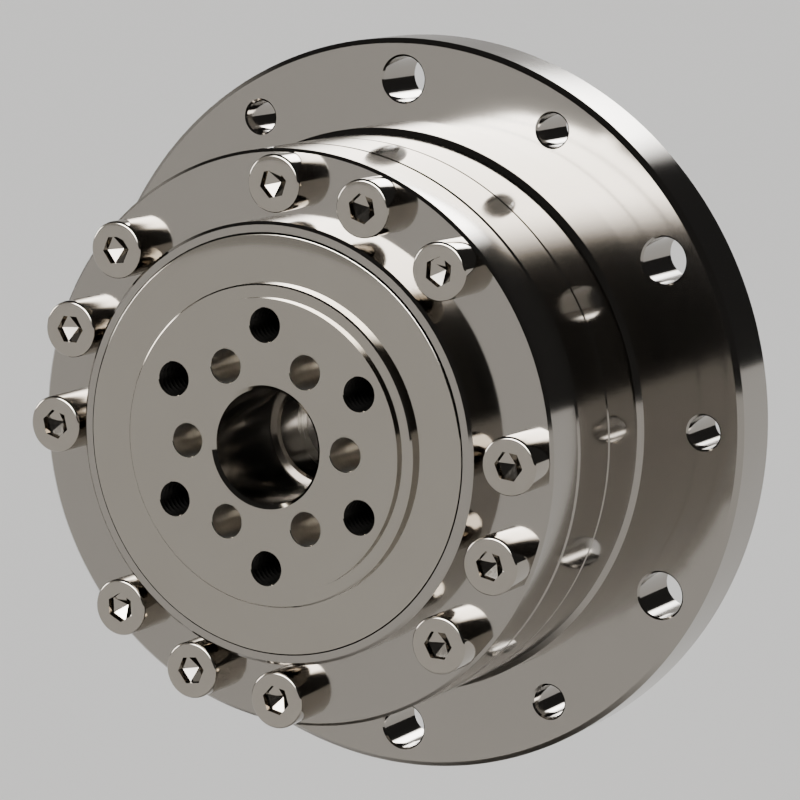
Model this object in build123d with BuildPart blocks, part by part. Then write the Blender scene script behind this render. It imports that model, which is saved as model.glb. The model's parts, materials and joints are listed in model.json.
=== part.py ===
from build123d import *
import os
from math import cos, degrees, pi, radians, sin, sqrt, tan

# Cup-type strain wave reducer, in millimetres.
# The output axis lies along Y: the output hub faces -Y, and Y = 0 is the flange's mounting face.

# Flange and circular spline
flange_radius = 36.5
flange_thickness = 6.5
flange_front_chamfer = 0.5
flange_rear_chamfer = 0.3
flange_hole_inset = 4.0
flange_through_radius = 2.25
flange_tapped_radius = 1.65
flange_hole_chamfer = 0.18
flange_hole_pairs = 6
pilot_step = 0.5
pilot_length = 3.7
spline_body_length = 6.2
rear_recess_radius = 19.6
rear_recess_depth = 1.0
cup_bore_step = 0.4

# Cross roller bearing rings, from the circular spline to the front
body_radius = 27.5
rear_ring_length = 6.4
front_ring_length = 5.5
ring_edge_chamfer = 0.18
front_edge_chamfer = 0.3
lip_height = 3.3
lip_inner_radius = 20.0
lip_outer_radius = 21.0
lip_chamfer = 0.3

# Ring screws: socket head cap screws on sixteen places, four of them left empty
screw_inset = 3.0
screw_places = 16
empty_places = (1, 5, 9, 13)
screw_radius = 1.5
screw_length = 16.0
screw_clearance = 0.2
thread_clearance = 0.02
head_radius = 2.75
head_height = 3.0
head_chamfer = 0.3
socket_width = 2.5
socket_depth = 1.4
socket_turn = 23.0
thread_depth = 4.6

# Crossed rollers
roller_radius = 1.5
roller_circle = 19.0
roller_count = 30
roller_clearance = 0.03
roller_edge = 0.2
spacer_thickness = 0.6
spacer_side = 2.3
ring_gap = 0.1

# Output hub
hub_proud = 0.15
disc_step = 0.8
boss_step = 0.45
boss_radius = 14.0
step_radius = 15.3
step_chamfer = 0.15
disc_rounding = 0.15
disc_gap = 0.1
disc_thickness = 2.0
hub_length = 14.5
hub_bore_radius = 5.5
hub_bore_depth = 11.0
hub_rear_bore_radius = 4.9
bore_chamfer = 0.35
ledge_chamfer = 0.25
tapped_circle = 11.5
tapped_radius = 1.62
tapped_depth = 8.0
bolt_circle = 8.5
bolt_hole_radius = 1.6
hub_hole_count = 6

# Shaft seal between hub and front ring
seal_groove_depth = 0.2
seal_width = 2.3
seal_lip_width = 0.6
seal_lip_gap = 0.05
seal_pocket_gap = 0.1
seal_seat_gap = 0.01

# Teeth: the circular spline has two teeth more than the flexspline
flexspline_teeth = 100
extra_teeth = 2
pitch_diameter = 35.56
tooth_addendum = 0.27
tooth_dedendum = 0.33
flank_angle = 27.0
flank_clearance = 0.03
spline_overcut = 0.13
spline_overrun = 0.01
spline_face_width = 6.2

# Flexspline cup
cup_wall = 0.45
cup_bore_radius = 16.75
cup_diaphragm = 0.5
cup_boss_radius = 11.0
cup_boss_thickness = 1.8
cup_corner = 1.2
cup_base_length = 2.0
cup_relief = 0.4
cup_rim_overhang = 0.6
cup_rim_taper = 1.5

# Sealing ring between the circular spline and the rear bearing ring
ring_seal_radius = 20.9
ring_seal_width = 1.3
ring_seal_depth = 0.8
ring_seal_gap = 0.02

# Flexspline clamp and bolts
clamp_thickness = 1.8
clamp_chamfer = 0.3
bolt_length = 10.0

# Wave generator: elliptical plug in a thin ball bearing
race_gap = 0.03
ball_radius = 1.25
ball_circle = 14.6
ball_count = 24
ball_clearance = 0.02
race_shoulder = 0.42
groove_half_width = 1.0
groove_flat = 0.9
race_width = 5.0
race_rear_setback = 1.6
plug_radius = 12.2
plug_shoulder = 0.8
plug_shoulder_step = 0.8
plug_seat_gap = 0.01
cage_thickness = 1.1
cage_width = 3.8
cage_pocket_gap = 0.12

# Input hub and Oldham coupling
input_bore_radius = 3.0
input_hub_radius = 5.2
input_hub_length = 8.0
input_hub_setback = 0.6
input_flange_radius = 7.2
input_plug_gap = 0.3
key_width = 2.0
key_depth = 1.0
oldham_outer_radius = 9.4
oldham_inner_radius = 5.6
oldham_thickness = 1.4
oldham_setback = 0.1
tongue_width = 3.0
tongue_length = 1.4
ear_length = 1.8
coupling_gap = 0.06
snap_ring_thickness = 0.4
snap_ring_width = 1.0
snap_groove_depth = 0.3
snap_opening = 2.4
snap_groove_gap = 0.02

# Stations along the axis, worked out from the lengths above
flange_front = -flange_thickness
pilot_front = flange_front - pilot_length
cone_height = pilot_step
spline_front = pilot_front - cone_height - spline_body_length
ring_split = spline_front - rear_ring_length
ring_front = ring_split - front_ring_length
lip_front = ring_front - lip_height
disc_front = lip_front - hub_proud
step_front = disc_front - disc_step
hub_front = step_front - boss_step
hub_rear = hub_front + hub_length
disc_rear = disc_front + disc_thickness
clamp_front = hub_rear + cup_boss_thickness
clamp_rear = clamp_front + clamp_thickness
rim_rear = -rear_recess_depth
spline_teeth_front = rim_rear - spline_face_width
rim_front = spline_teeth_front - cup_rim_overhang
cup_straight_front = rim_front - cup_rim_taper
race_rear = -race_rear_setback
race_front = race_rear - race_width
race_middle = (race_front + race_rear) / 2
input_rear = -input_hub_setback
input_front = input_rear - input_hub_length
seal_front = disc_rear + seal_pocket_gap
seal_rear = seal_front + seal_width
cup_front = hub_rear + cup_relief
cup_base_rear = cup_front + cup_base_length
plug_front = race_front - plug_shoulder
oldham_rear = race_rear - oldham_setback
oldham_front = oldham_rear - oldham_thickness
snap_rear = oldham_rear + snap_ring_thickness + coupling_gap

# Circles that keep their distance from an edge
flange_hole_circle = flange_radius - flange_hole_inset
pilot_radius = body_radius + pilot_step
screw_circle = body_radius - screw_inset

# Sizes that follow from the tooth counts
module_size = pitch_diameter / flexspline_teeth
deflection = extra_teeth * module_size / 2
flex_pitch_radius = pitch_diameter / 2
spline_teeth = flexspline_teeth + extra_teeth
spline_pitch_radius = flex_pitch_radius + deflection
tooth_width = pi * module_size / 2
flank_slope = tan(radians(flank_angle))
rim_outer_radius = flex_pitch_radius - tooth_dedendum
cup_outer_radius = cup_bore_radius + cup_wall
disc_radius = lip_inner_radius - disc_gap
bearing_bore = roller_circle + ring_gap
bearing_journal = roller_circle - ring_gap
groove_reach = (roller_radius + roller_clearance) * sqrt(2)
cup_clearance_bore = rear_recess_radius - cup_bore_step
groove_rise = groove_reach - ring_gap
filled_places = [place for place in range(screw_places) if place not in empty_places]
screw_angles = [360 / screw_places * place for place in filled_places]
outer_race_radius = cup_bore_radius - race_gap
outer_groove_radius = ball_circle + ball_radius + ball_clearance
outer_race_bore = outer_groove_radius - race_shoulder
inner_groove_radius = ball_circle - ball_radius - ball_clearance
inner_race_radius = inner_groove_radius + race_shoulder
cage_pocket_reach = ball_radius + cage_pocket_gap


def front_plane(station):
    """Plane across the axis at a station, facing the output side."""
    return Plane(origin=(0, station, 0), x_dir=(1, 0, 0), z_dir=(0, -1, 0))


def rear_plane(station):
    """Plane across the axis at a station, facing the open side of the cup."""
    return Plane(origin=(0, station, 0), x_dir=(1, 0, 0), z_dir=(0, 1, 0))


def circle_edges(part, radius, station):
    """Circular edges of a part at one radius and one station."""
    return [
        edge
        for edge in part.edges().filter_by(GeomType.CIRCLE)
        if abs(edge.radius - radius) < 0.001 and abs(edge.center().Y - station) < 0.001
    ]


def deflected_pitch(radius, swing, angle):
    """Place and outward angle, in radians, of a point on a ring that is pressed into an oval."""
    polar = angle - swing / (2 * radius) * sin(2 * angle)
    reach = radius + swing * cos(2 * angle)
    outward = polar + 2 * swing / radius * sin(2 * angle)
    return reach * cos(polar), reach * sin(polar), outward


def tooth_outline(count, radius, swing, width, root, tip):
    """Corners of a row of straight-flanked teeth that point outwards from a pitch line."""
    corners = []
    for index in range(count):
        x, y, outward = deflected_pitch(radius, swing, 2 * pi * index / count)
        for side, height in ((-1, -root), (-1, tip), (1, tip), (1, -root)):
            across = side * (width / 2 - height * flank_slope)
            corners.append(
                (
                    x + height * cos(outward) - across * sin(outward),
                    y + height * sin(outward) + across * cos(outward),
                )
            )
    return corners


# Circular spline with the mounting flange, the pilot and the rear part of the body
with BuildPart() as spline_flange:
    with BuildSketch(Plane.XY):
        with BuildLine():
            Polyline(
                (spline_pitch_radius - tooth_addendum, 0),
                (flange_radius, 0),
                (flange_radius, flange_front),
                (pilot_radius, flange_front),
                (pilot_radius, pilot_front),
                (body_radius, pilot_front - cone_height),
                (body_radius, spline_front),
                (cup_clearance_bore, spline_front),
                (cup_clearance_bore, spline_teeth_front),
                (spline_pitch_radius - tooth_addendum, spline_teeth_front),
                close=True,
            )
        make_face()
    revolve(axis=Axis.Y)
    with BuildSketch(front_plane(0)):
        Circle(rear_recess_radius)
    extrude(amount=rear_recess_depth, mode=Mode.SUBTRACT)
    with BuildSketch(front_plane(0)):
        Polygon(
            *tooth_outline(
                spline_teeth,
                spline_pitch_radius,
                0,
                tooth_width,
                tooth_addendum + spline_overcut,
                tooth_dedendum,
            ),
            align=None,
        )
    extrude(amount=spline_overrun - spline_teeth_front, mode=Mode.SUBTRACT)
    chamfer(circle_edges(spline_flange.part, flange_radius, flange_front), flange_front_chamfer)
    chamfer(circle_edges(spline_flange.part, flange_radius, 0), flange_rear_chamfer)
    chamfer(circle_edges(spline_flange.part, body_radius, spline_front), ring_edge_chamfer)
    with Locations(front_plane(flange_front)):
        with PolarLocations(flange_hole_circle, flange_hole_pairs, start_angle=30):
            Hole(flange_through_radius, depth=flange_thickness)
        with PolarLocations(flange_hole_circle, flange_hole_pairs):
            Hole(flange_tapped_radius, depth=flange_thickness)
    chamfer(circle_edges(spline_flange.part, flange_through_radius, flange_front), flange_hole_chamfer)
    chamfer(circle_edges(spline_flange.part, flange_tapped_radius, flange_front), flange_hole_chamfer)
    with BuildSketch(front_plane(spline_front)):
        Circle(ring_seal_radius + ring_seal_width / 2)
        Circle(ring_seal_radius - ring_seal_width / 2, mode=Mode.SUBTRACT)
    extrude(amount=-ring_seal_depth, mode=Mode.SUBTRACT)
    with Locations(front_plane(spline_front)):
        for angle in screw_angles:
            with PolarLocations(screw_circle, 1, start_angle=angle):
                Hole(screw_radius + thread_clearance, depth=thread_depth)


# Sealing ring in the face groove of the circular spline
with BuildPart() as ring_seal:
    with BuildSketch(front_plane(spline_front)):
        Circle(ring_seal_radius + ring_seal_width / 2 - ring_seal_gap)
        Circle(ring_seal_radius - ring_seal_width / 2 + ring_seal_gap, mode=Mode.SUBTRACT)
    extrude(amount=-(ring_seal_depth - ring_seal_gap))


# Rear half of the bearing's outer ring
with BuildPart() as bearing_ring_rear:
    with BuildSketch(Plane.XY):
        with BuildLine():
            Polyline(
                (roller_circle + groove_reach, ring_split),
                (body_radius, ring_split),
                (body_radius, spline_front),
                (bearing_bore, spline_front),
                (bearing_bore, ring_split + groove_rise),
                close=True,
            )
        make_face()
    revolve(axis=Axis.Y)
    chamfer(circle_edges(bearing_ring_rear.part, body_radius, ring_split), ring_edge_chamfer)
    with Locations(front_plane(ring_split)):
        for angle in screw_angles:
            with PolarLocations(screw_circle, 1, start_angle=angle):
                Hole(screw_radius + screw_clearance, depth=rear_ring_length)


# Front half of the bearing's outer ring, with the screw face and the lip round the hub
with BuildPart() as bearing_ring_front:
    with BuildSketch(Plane.XY):
        with BuildLine():
            Polyline(
                (lip_inner_radius, lip_front),
                (lip_outer_radius, lip_front),
                (lip_outer_radius, ring_front),
                (body_radius, ring_front),
                (body_radius, ring_split),
                (roller_circle + groove_reach, ring_split),
                (bearing_bore, ring_split - groove_rise),
                (bearing_bore, seal_rear),
                (lip_inner_radius, seal_rear),
                close=True,
            )
        make_face()
    revolve(axis=Axis.Y)
    chamfer(circle_edges(bearing_ring_front.part, body_radius, ring_front), front_edge_chamfer)
    chamfer(circle_edges(bearing_ring_front.part, lip_outer_radius, lip_front), lip_chamfer)
    with Locations(front_plane(ring_front)):
        for angle in screw_angles:
            with PolarLocations(screw_circle, 1, start_angle=angle):
                Hole(screw_radius + screw_clearance, depth=front_ring_length)


def cap_screw(length, turn):
    """Socket head cap screw with its seat at Z = 0, the head above and the shank below."""
    with BuildPart() as screw:
        with BuildSketch(Plane.XY):
            Circle(head_radius)
        extrude(amount=head_height)
        chamfer(screw.edges().group_by(Axis.Z)[-1], head_chamfer)
        with BuildSketch(Plane.XY):
            Circle(screw_radius)
        extrude(amount=-length)
        with BuildSketch(Plane.XY.offset(head_height)):
            RegularPolygon(radius=socket_width / sqrt(3), side_count=6, rotation=turn)
        extrude(amount=-socket_depth, mode=Mode.SUBTRACT)
    return screw.part


# Ring screws, each tightened to its own angle
with BuildPart() as ring_screws:
    for place, angle in zip(filled_places, screw_angles):
        with Locations(front_plane(ring_front)):
            with PolarLocations(screw_circle, 1, start_angle=angle):
                add(cap_screw(screw_length, socket_turn * place))


# Output hub: the bearing's inner ring with the stepped output face
with BuildPart() as output_hub:
    with BuildSketch(Plane.XY):
        with BuildLine():
            Polyline(
                (hub_bore_radius, hub_front),
                (boss_radius, hub_front),
                (boss_radius, step_front),
                (step_radius, step_front),
                (step_radius, disc_front),
                (disc_radius, disc_front),
                (disc_radius, disc_rear),
                (bearing_journal - seal_groove_depth, disc_rear),
                (bearing_journal - seal_groove_depth, seal_rear),
                (bearing_journal, seal_rear),
                (bearing_journal, ring_split - groove_rise),
                (roller_circle - groove_reach, ring_split),
                (bearing_journal, ring_split + groove_rise),
                (bearing_journal, hub_rear),
                (hub_rear_bore_radius, hub_rear),
                (hub_rear_bore_radius, hub_front + hub_bore_depth),
                (hub_bore_radius, hub_front + hub_bore_depth),
                close=True,
            )
        make_face()
    revolve(axis=Axis.Y)
    chamfer(circle_edges(output_hub.part, step_radius, step_front), step_chamfer)
    fillet(circle_edges(output_hub.part, disc_radius, disc_front), disc_rounding)
    chamfer(circle_edges(output_hub.part, hub_bore_radius, hub_front), bore_chamfer)
    chamfer(circle_edges(output_hub.part, hub_rear_bore_radius, hub_front + hub_bore_depth), ledge_chamfer)
    with Locations(front_plane(hub_front)):
        with PolarLocations(tapped_circle, hub_hole_count, start_angle=30):
            Hole(tapped_radius, depth=tapped_depth)
        with PolarLocations(bolt_circle, hub_hole_count):
            Hole(bolt_hole_radius, depth=hub_length)


# Crossed rollers, every second one tilted the other way
def roller_row(start_angle, tilt):
    """Half of the rollers, all with the same tilt."""
    with BuildPart() as row:
        with Locations(front_plane(ring_split)):
            with PolarLocations(roller_circle, roller_count // 2, start_angle=start_angle):
                Cylinder(roller_radius, 2 * roller_radius, rotation=(0, tilt, 0))
        chamfer(row.edges().filter_by(GeomType.CIRCLE), roller_edge)
    return row


roller_pitch = 360 / roller_count
rollers_forward = roller_row(0, 45)
rollers_backward = roller_row(roller_pitch, -45)


# Flat spacers between neighbouring rollers
with BuildPart() as roller_spacers:
    with Locations(front_plane(ring_split)):
        with PolarLocations(roller_circle, roller_count, start_angle=roller_pitch / 2):
            Box(spacer_side, spacer_thickness, spacer_side, rotation=(0, 45, 0))


# Shaft seal in the front ring, its lip running on the hub
with BuildPart() as shaft_seal:
    with BuildSketch(Plane.XY):
        with BuildLine():
            Polyline(
                (bearing_journal - seal_groove_depth + seal_lip_gap, seal_rear - seal_lip_width),
                (lip_inner_radius - seal_seat_gap, seal_rear - seal_seat_gap),
                (lip_inner_radius - seal_seat_gap, seal_front),
                (bearing_journal, seal_front),
                close=True,
            )
        make_face()
    revolve(axis=Axis.Y)


def oval(radius, mode=Mode.ADD):
    """Circle pressed into the wave generator's oval, its long axis along X."""
    return Ellipse(radius + deflection, radius - deflection, mode=mode)


# Flexspline: thin cup, round at its boss and pressed oval at its toothed rim
with BuildPart() as flexspline:
    with BuildSketch(front_plane(cup_front)):
        Circle(cup_outer_radius)
    extrude(amount=-cup_base_length)
    fillet(circle_edges(flexspline.part, cup_outer_radius, cup_front), cup_corner)
    with BuildSketch(front_plane(cup_base_rear)):
        Circle(cup_outer_radius)
    with BuildSketch(front_plane(cup_straight_front)):
        oval(cup_outer_radius)
    loft()
    with BuildSketch(front_plane(cup_straight_front)):
        oval(cup_outer_radius)
    with BuildSketch(front_plane(rim_front)):
        oval(rim_outer_radius)
    loft()
    with BuildSketch(front_plane(rim_front)):
        Polygon(
            *tooth_outline(
                flexspline_teeth,
                flex_pitch_radius,
                deflection,
                tooth_width - 2 * flank_clearance,
                tooth_dedendum,
                tooth_addendum,
            ),
            align=None,
        )
    extrude(amount=rim_front - rim_rear)
    with BuildSketch(front_plane(cup_front + cup_diaphragm)):
        Circle(cup_bore_radius)
    extrude(amount=cup_diaphragm - cup_base_length, mode=Mode.SUBTRACT)
    with BuildSketch(front_plane(cup_base_rear)):
        Circle(cup_bore_radius)
    with BuildSketch(front_plane(cup_straight_front)):
        oval(cup_bore_radius)
    loft(mode=Mode.SUBTRACT)
    with BuildSketch(front_plane(cup_straight_front)):
        oval(cup_bore_radius)
    extrude(amount=cup_straight_front - rim_rear, mode=Mode.SUBTRACT)
    with BuildSketch(front_plane(hub_rear)):
        Circle(cup_boss_radius)
    extrude(amount=-cup_boss_thickness)
    with Locations(front_plane(hub_rear)):
        Hole(hub_rear_bore_radius, depth=cup_boss_thickness)
        with PolarLocations(bolt_circle, hub_hole_count):
            Hole(bolt_hole_radius, depth=cup_boss_thickness)


# Clamp ring that holds the flexspline's boss against the hub
with BuildPart() as flexspline_clamp:
    with BuildSketch(front_plane(clamp_front)):
        Circle(cup_boss_radius)
        Circle(hub_rear_bore_radius, mode=Mode.SUBTRACT)
        with PolarLocations(bolt_circle, hub_hole_count):
            Circle(bolt_hole_radius, mode=Mode.SUBTRACT)
    extrude(amount=-clamp_thickness)
    chamfer(circle_edges(flexspline_clamp.part, cup_boss_radius, clamp_rear), clamp_chamfer)


# Flexspline bolts, put in from the open side of the cup
with BuildPart() as flexspline_bolts:
    for place in range(hub_hole_count):
        with Locations(rear_plane(clamp_rear)):
            with PolarLocations(bolt_circle, 1, start_angle=place * 360 / hub_hole_count):
                add(cap_screw(bolt_length, socket_turn * place))


def ball_places():
    """Places of the balls on the oval ball track, each turned to face outwards."""
    places = []
    for index in range(ball_count):
        x, y, outward = deflected_pitch(ball_circle, deflection, 2 * pi * index / ball_count)
        places.append(Location((x, y, 0), (0, 0, degrees(outward))))
    return places


def race_sections(land_radius, groove_radius):
    """Pairs of neighbouring sections, as station and radius, across a race and its ball groove."""
    sections = (
        (race_rear, land_radius),
        (race_middle + groove_half_width, land_radius),
        (race_middle + groove_flat / 2, groove_radius),
        (race_middle - groove_flat / 2, groove_radius),
        (race_middle - groove_half_width, land_radius),
        (race_front, land_radius),
    )
    return zip(sections[:-1], sections[1:])


# Wave generator bearing: two oval races, the balls, and a crown cage that is open towards the rear
with BuildPart() as wave_outer_race:
    with BuildSketch(front_plane(race_rear)):
        oval(outer_race_radius)
    extrude(amount=race_width)
    for rear_section, front_section in race_sections(outer_race_bore, outer_groove_radius):
        with BuildSketch(front_plane(rear_section[0])):
            oval(rear_section[1])
        with BuildSketch(front_plane(front_section[0])):
            oval(front_section[1])
        loft(mode=Mode.SUBTRACT)

with BuildPart() as wave_inner_race:
    for rear_section, front_section in race_sections(inner_race_radius, inner_groove_radius):
        with BuildSketch(front_plane(rear_section[0])):
            oval(rear_section[1])
        with BuildSketch(front_plane(front_section[0])):
            oval(front_section[1])
        loft()
    with BuildSketch(front_plane(race_rear)):
        oval(plug_radius)
    extrude(amount=race_width, mode=Mode.SUBTRACT)

with BuildPart() as wave_balls:
    with Locations(front_plane(race_middle)):
        with Locations(*ball_places()):
            Sphere(ball_radius)

with BuildPart() as wave_ball_cage:
    with BuildSketch(front_plane(race_middle + cage_width / 2)):
        oval(ball_circle + cage_thickness / 2)
        oval(ball_circle - cage_thickness / 2, mode=Mode.SUBTRACT)
    extrude(amount=cage_width)
    with Locations(front_plane(race_middle - cage_pocket_reach)):
        with Locations(*ball_places()):
            Box(
                2 * cage_thickness,
                2 * cage_pocket_reach,
                cage_pocket_reach + cage_width / 2,
                align=(Align.CENTER, Align.CENTER, Align.MAX),
                mode=Mode.SUBTRACT,
            )


# Oval plug with the seat of the Oldham ring in its rear face
with BuildPart() as wave_plug:
    with BuildSketch(front_plane(race_rear)):
        oval(plug_radius - plug_seat_gap)
    extrude(amount=race_width)
    with BuildSketch(front_plane(race_front)):
        oval(plug_radius + plug_shoulder_step)
    extrude(amount=plug_shoulder)
    with Locations(rear_plane(race_rear)):
        Hole(input_hub_radius + input_plug_gap, depth=race_width + plug_shoulder)
    with BuildSketch(front_plane(race_rear)):
        Circle(oldham_outer_radius + coupling_gap)
        Rectangle(
            tongue_width + 2 * coupling_gap,
            2 * (oldham_outer_radius + tongue_length + coupling_gap),
        )
    extrude(amount=race_rear - oldham_front + coupling_gap, mode=Mode.SUBTRACT)


# Oldham ring: outer tongues in the plug, inner notches for the hub's ears
with BuildPart() as oldham_ring:
    with BuildSketch(front_plane(oldham_rear)):
        Circle(oldham_outer_radius)
        Rectangle(tongue_width, 2 * (oldham_outer_radius + tongue_length))
        Circle(oldham_inner_radius, mode=Mode.SUBTRACT)
        Rectangle(
            2 * (input_hub_radius + ear_length + coupling_gap),
            tongue_width + 2 * coupling_gap,
            mode=Mode.SUBTRACT,
        )
    extrude(amount=oldham_thickness)


# Input hub for the motor shaft, with a keyway and two ears
with BuildPart() as input_hub:
    with BuildSketch(front_plane(input_rear)):
        Circle(input_hub_radius)
    extrude(amount=input_hub_length)
    with BuildSketch(front_plane(plug_front - coupling_gap)):
        Circle(input_flange_radius)
    extrude(amount=plug_front - coupling_gap - input_front)
    with BuildSketch(front_plane(oldham_rear)):
        Rectangle(2 * (input_hub_radius + ear_length), tongue_width)
    extrude(amount=oldham_thickness)
    chamfer(circle_edges(input_hub.part, input_hub_radius, input_rear), bore_chamfer)
    with BuildSketch(front_plane(input_rear)):
        Circle(input_bore_radius)
        with Locations((0, input_bore_radius)):
            Rectangle(key_width, 2 * key_depth)
    extrude(amount=input_hub_length, mode=Mode.SUBTRACT)
    with BuildSketch(front_plane(snap_rear)):
        Circle(input_hub_radius)
        Circle(input_hub_radius - snap_groove_depth, mode=Mode.SUBTRACT)
    extrude(amount=snap_ring_thickness, mode=Mode.SUBTRACT)


# Open snap ring behind the Oldham ring
with BuildPart() as hub_snap_ring:
    with BuildSketch(front_plane(snap_rear - snap_groove_gap)):
        Circle(input_hub_radius - snap_groove_depth + snap_ring_width)
        Circle(input_hub_radius - snap_groove_depth + snap_groove_gap, mode=Mode.SUBTRACT)
        with Locations((0, -input_hub_radius)):
            Rectangle(snap_opening, 2 * snap_ring_width + snap_opening, mode=Mode.SUBTRACT)
    extrude(amount=snap_ring_thickness - 2 * snap_groove_gap)


pieces = {
    "spline_flange": spline_flange,
    "bearing_ring_rear": bearing_ring_rear,
    "bearing_ring_front": bearing_ring_front,
    "ring_screws": ring_screws,
    "ring_seal": ring_seal,
    "shaft_seal": shaft_seal,
    "rollers_forward": rollers_forward,
    "rollers_backward": rollers_backward,
    "roller_spacers": roller_spacers,
    "output_hub": output_hub,
    "flexspline": flexspline,
    "flexspline_clamp": flexspline_clamp,
    "flexspline_bolts": flexspline_bolts,
    "wave_outer_race": wave_outer_race,
    "wave_inner_race": wave_inner_race,
    "wave_balls": wave_balls,
    "wave_ball_cage": wave_ball_cage,
    "wave_plug": wave_plug,
    "oldham_ring": oldham_ring,
    "input_hub": input_hub,
    "hub_snap_ring": hub_snap_ring,
}

os.makedirs("parts", exist_ok=True)
for label, piece in pieces.items():
    piece.part.label = label
    export_step(piece.part, f"parts/{label}.step")
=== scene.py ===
"""Dresses the cup-type strain wave reducer: polished steel rings, hub and screws in a plain studio.

Lengths in this file are millimetres until they reach a mesh, a light or the camera. The output axis lies
along Y, the output hub faces -Y and Y = 0 is the flange's mounting face.
"""

from __future__ import annotations

import json
import logging
import math
from dataclasses import dataclass, field
from enum import Enum
from typing import Any, Iterable, Sequence

import bmesh
import bpy
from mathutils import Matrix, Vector

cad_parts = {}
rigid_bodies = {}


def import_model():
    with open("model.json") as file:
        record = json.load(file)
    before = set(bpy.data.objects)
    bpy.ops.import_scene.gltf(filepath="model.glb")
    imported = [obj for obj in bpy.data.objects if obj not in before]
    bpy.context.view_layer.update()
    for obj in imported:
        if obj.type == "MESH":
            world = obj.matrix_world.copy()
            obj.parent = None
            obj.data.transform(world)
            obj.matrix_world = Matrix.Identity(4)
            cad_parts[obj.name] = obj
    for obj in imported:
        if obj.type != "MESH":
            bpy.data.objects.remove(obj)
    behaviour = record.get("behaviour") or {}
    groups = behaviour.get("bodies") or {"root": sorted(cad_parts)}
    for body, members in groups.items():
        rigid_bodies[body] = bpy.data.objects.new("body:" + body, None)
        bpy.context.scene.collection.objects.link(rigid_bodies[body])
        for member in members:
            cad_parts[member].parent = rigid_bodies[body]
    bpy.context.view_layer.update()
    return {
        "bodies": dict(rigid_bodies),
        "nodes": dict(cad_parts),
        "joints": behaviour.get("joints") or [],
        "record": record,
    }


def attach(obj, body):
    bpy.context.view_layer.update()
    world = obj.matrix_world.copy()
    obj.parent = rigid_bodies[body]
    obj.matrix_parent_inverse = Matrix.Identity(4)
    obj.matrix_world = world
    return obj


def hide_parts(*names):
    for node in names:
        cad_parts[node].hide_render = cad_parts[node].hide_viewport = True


LOG = logging.getLogger("reducer")
MM = 0.001
CIRCLE_POINTS = 240
HOLE_POINTS = 40
FULL_TURN = 2 * math.pi
SHARP_ANGLE = math.radians(24)
POINT_ANGLE = math.radians(31)
# Stations closer than this, in millimetres, are one flat face.
FLAT_LIMIT = 1e-6
# A CAD node's loose points merge within this distance, in millimetres.
MERGE_LIMIT = 0.002
# Facets that bend less than this are one face, and edges that bend more get broken.
FACET_ANGLE = math.radians(0.5)
EDGE_ANGLE = math.radians(40)

Outline = list[tuple[float, float]]
Ring = list[bmesh.types.BMVert]


# Shared helpers.


def linear(hex_text: str) -> tuple[float, float, float, float]:
    """Turns an sRGB colour into linear light.

    Args:
        hex_text: Six hexadecimal digits.

    Returns:
        Linear red, green and blue, and an alpha of one.
    """
    shares = [int(hex_text[start : start + 2], 16) / 255 for start in (0, 2, 4)]
    return (*(s / 12.92 if s <= 0.04045 else ((s + 0.055) / 1.055) ** 2.4 for s in shares), 1.0)


def add_node(
    tree: bpy.types.NodeTree, kind: str, inputs: dict[Any, Any] | None = None, **settings: Any
) -> bpy.types.Node:
    """Adds a node with its settings and fills its inputs.

    Args:
        tree: Tree that gets the node.
        kind: Type name of the node.
        inputs: Input names or numbers with a value or another node's output.
        settings: Properties of the node.

    Returns:
        The new node.
    """
    node = tree.nodes.new(kind)
    for name, value in settings.items():
        setattr(node, name, value)
    for key, value in (inputs or {}).items():
        if isinstance(value, bpy.types.NodeSocket):
            tree.links.new(value, node.inputs[key])
        else:
            node.inputs[key].default_value = value
    return node


def mixed(
    tree: bpy.types.NodeTree, share: bpy.types.NodeSocket, first: str, second: str
) -> bpy.types.NodeSocket:
    """Mixes two sRGB colours by a share.

    Args:
        tree: Tree that gets the node.
        share: Share of the second colour.
        first: Colour where the share is nought.
        second: Colour where it is one.

    Returns:
        Output that carries the mixed colour.
    """
    # A colour Mix node has its colour sockets behind the number and vector ones.
    inputs = {0: share, 6: linear(first), 7: linear(second)}
    return add_node(tree, "ShaderNodeMix", inputs, data_type="RGBA").outputs[2]


def circle(radius: float, points: int = CIRCLE_POINTS, centre: tuple[float, float] = (0.0, 0.0)) -> Outline:
    """Returns a circle in the X-Z plane."""
    steps = [FULL_TURN * step / points for step in range(points)]
    return [(centre[0] + radius * math.cos(a), centre[1] + radius * math.sin(a)) for a in steps]


def oval(radius: float, swing: float, points: int = CIRCLE_POINTS) -> Outline:
    """Returns a circle that is pressed into an oval, long along X."""
    steps = [FULL_TURN * step / points for step in range(points)]
    return [((radius + swing) * math.cos(a), (radius - swing) * math.sin(a)) for a in steps]


def hexagon(across_flats: float, points: int) -> Outline:
    """Returns a hexagon with its points spread over the six sides.

    Args:
        across_flats: Distance between opposite sides.
        points: Number of points, a multiple of six.

    Returns:
        Outline whose points stand at even angles.
    """
    outline = []
    for step in range(points):
        angle = FULL_TURN * step / points
        from_side = (angle + math.pi / 6) % (math.pi / 3) - math.pi / 6
        reach = across_flats / 2 / math.cos(from_side)
        outline.append((reach * math.cos(angle), reach * math.sin(angle)))
    return outline


def arc(centre: tuple[float, float], radius: float, start: float, end: float, steps: int) -> Outline:
    """Returns points on an arc, as radius and station, between two angles in degrees."""
    angles = [math.radians(start + (end - start) * step / steps) for step in range(steps + 1)]
    return [(centre[0] + radius * math.cos(a), centre[1] + radius * math.sin(a)) for a in angles]


def place_on_circle(radius: float, angle: float) -> tuple[float, float]:
    """Returns the X and Z of a place on a circle, its angle in degrees from X towards Z."""
    return radius * math.cos(math.radians(angle)), radius * math.sin(math.radians(angle))


# Meshes from stacked sections.


@dataclass(frozen=True)
class Thread:
    """Screw thread cut into the wall of a hole."""

    pitch: float = 0.7
    depth: float = 0.34
    steps_per_turn: int = 6


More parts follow.
